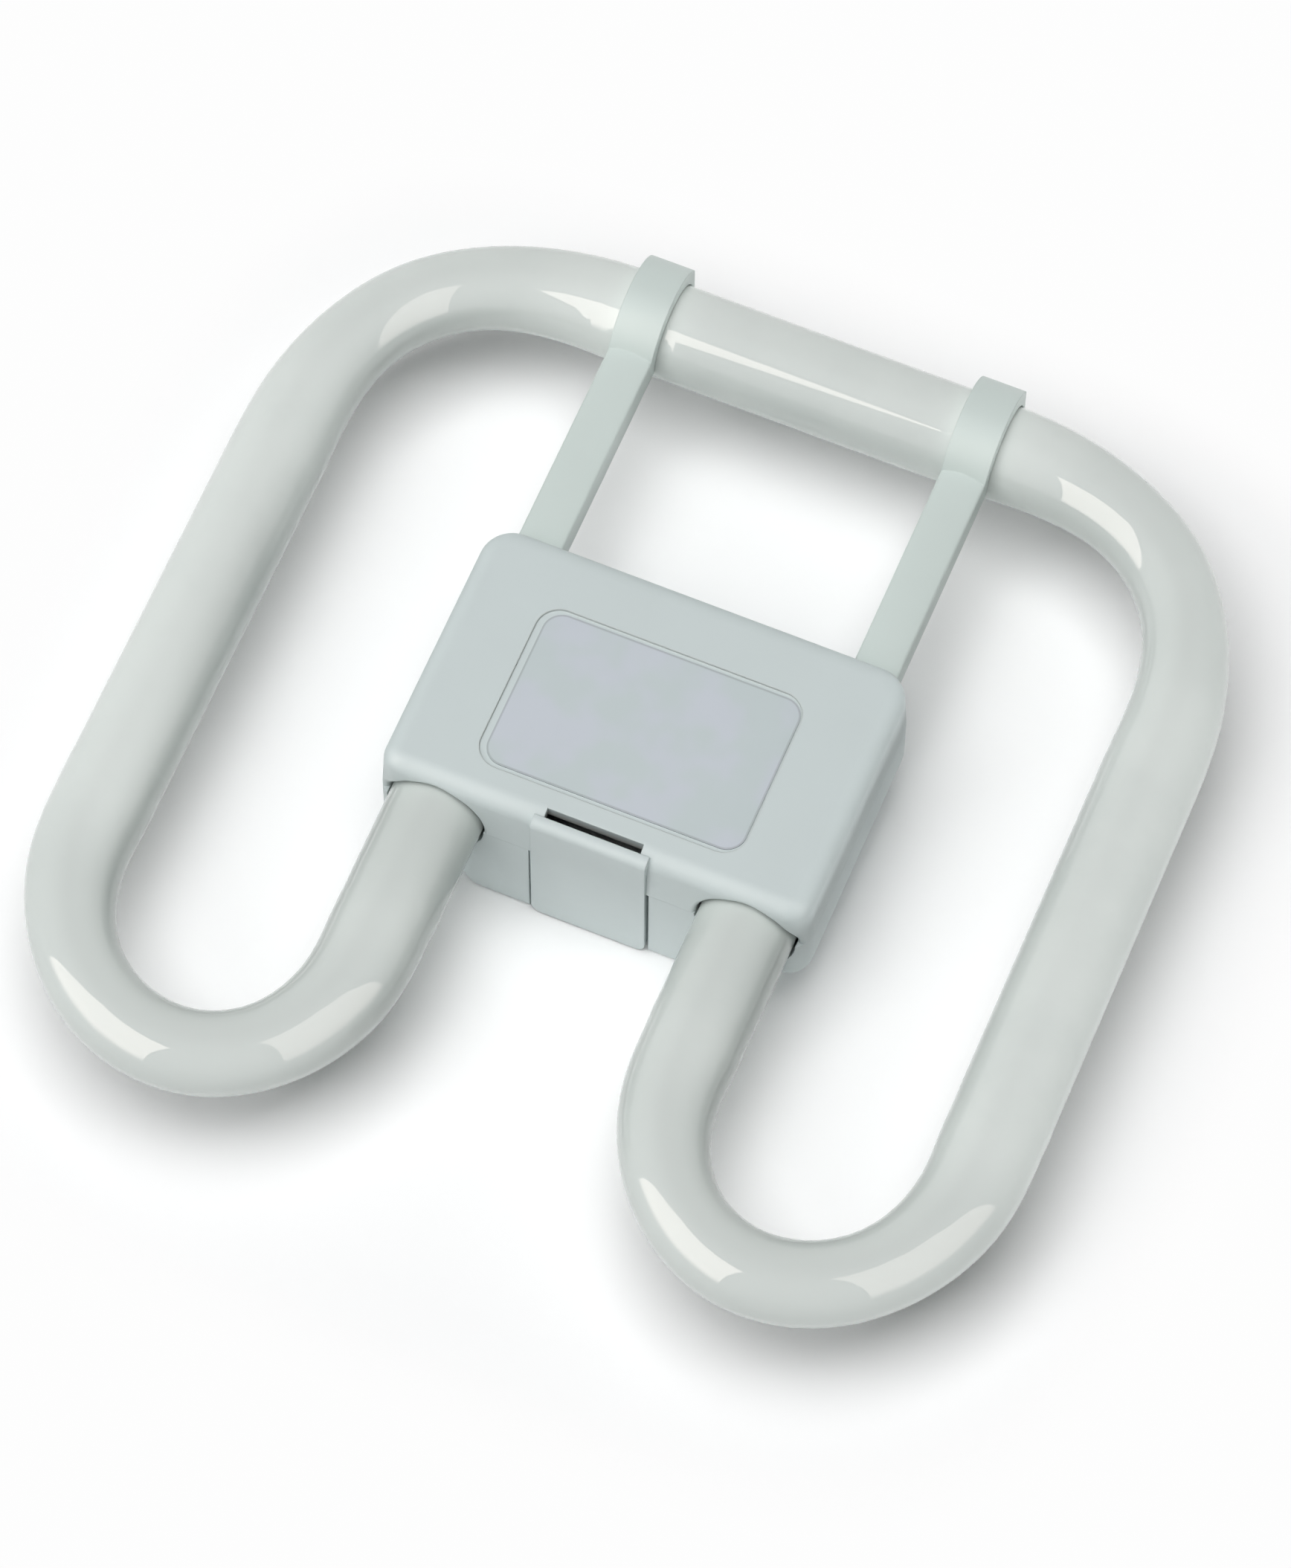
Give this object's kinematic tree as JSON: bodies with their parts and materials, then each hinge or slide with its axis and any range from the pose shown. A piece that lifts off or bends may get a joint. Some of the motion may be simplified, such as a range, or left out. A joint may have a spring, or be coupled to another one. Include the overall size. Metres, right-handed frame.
{
  "type": "square compact fluorescent lamp",
  "caption": "Flat square plug-in fluorescent lamp: an opal tube bent round a plastic cap with recessed contact pins in its back, steadied at the top by clip-on support arms.",
  "frame": {"origin": "midway between the two contact pins, in the plane of the plug block's back", "axes": "+Z from the back to the front of the lamp, +Y towards the top run of the tube, +X to the right as seen from the front"},
  "size_m": [0.1412, 0.1398, 0.027],
  "materials": {
    "opal_glass": "gloss",
    "cap_plastic": "satin",
    "arm_plastic": "satin",
    "label_film": "satin",
    "pin_brass": "satin",
    "clear_glass": "gloss",
    "capacitor_resin": "gloss",
    "lead_wire": "satin",
    "seat_rubber": "matte"
  },
  "bodies": {
    "root": {"discharge_tube": "opal_glass", "front_cover": "cap_plastic", "rear_housing": "cap_plastic", "rating_label": "label_film", "left_support_arm": "arm_plastic", "right_support_arm": "arm_plastic", "left_contact_pin": "pin_brass", "right_contact_pin": "pin_brass", "starter_bottle": "clear_glass", "starter_capacitor": "capacitor_resin", "left_pin_lead": "lead_wire", "right_pin_lead": "lead_wire", "left_starter_lead": "lead_wire", "right_starter_lead": "lead_wire", "left_tube_seat": "seat_rubber", "right_tube_seat": "seat_rubber"}
  },
  "joints": []
}
